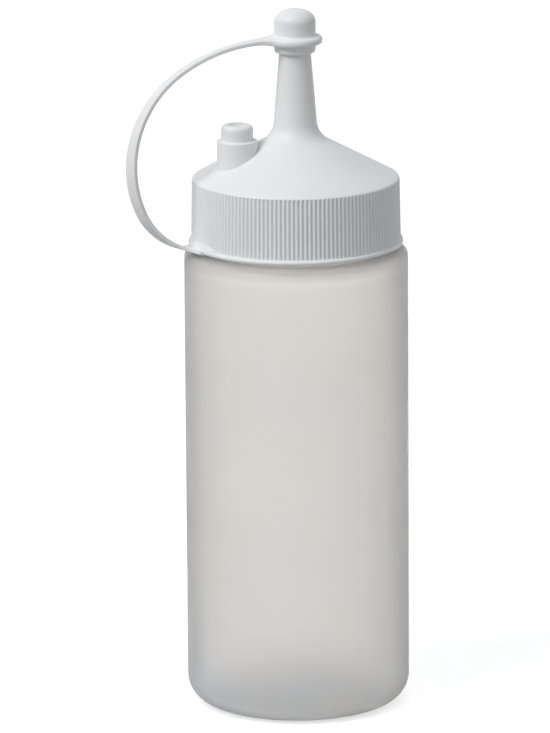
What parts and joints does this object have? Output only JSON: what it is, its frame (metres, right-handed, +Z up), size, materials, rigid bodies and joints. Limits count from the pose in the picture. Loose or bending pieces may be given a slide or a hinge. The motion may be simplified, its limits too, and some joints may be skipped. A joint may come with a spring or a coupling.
{
  "type": "squeeze bottle",
  "caption": "Translucent soft squeeze bottle for sauce, with a white ribbed screw closure, conical spout, parking peg and a domed tip cap held by a curved strap",
  "frame": {"origin": "centre of the flat underside of the bottle, on the bottle's axis", "axes": "+Z up along the bottle's axis, -X towards the strap and the parking peg, Y across the strap's plane"},
  "size_m": [0.0768, 0.06, 0.1899],
  "materials": {
    "bottle_plastic": "milky translucent soft polyethylene, satin",
    "closure_plastic": "opaque white polyethylene, satin"
  },
  "bodies": {
    "root": {"bottle": "bottle_plastic", "closure": "closure_plastic"}
  },
  "joints": []
}
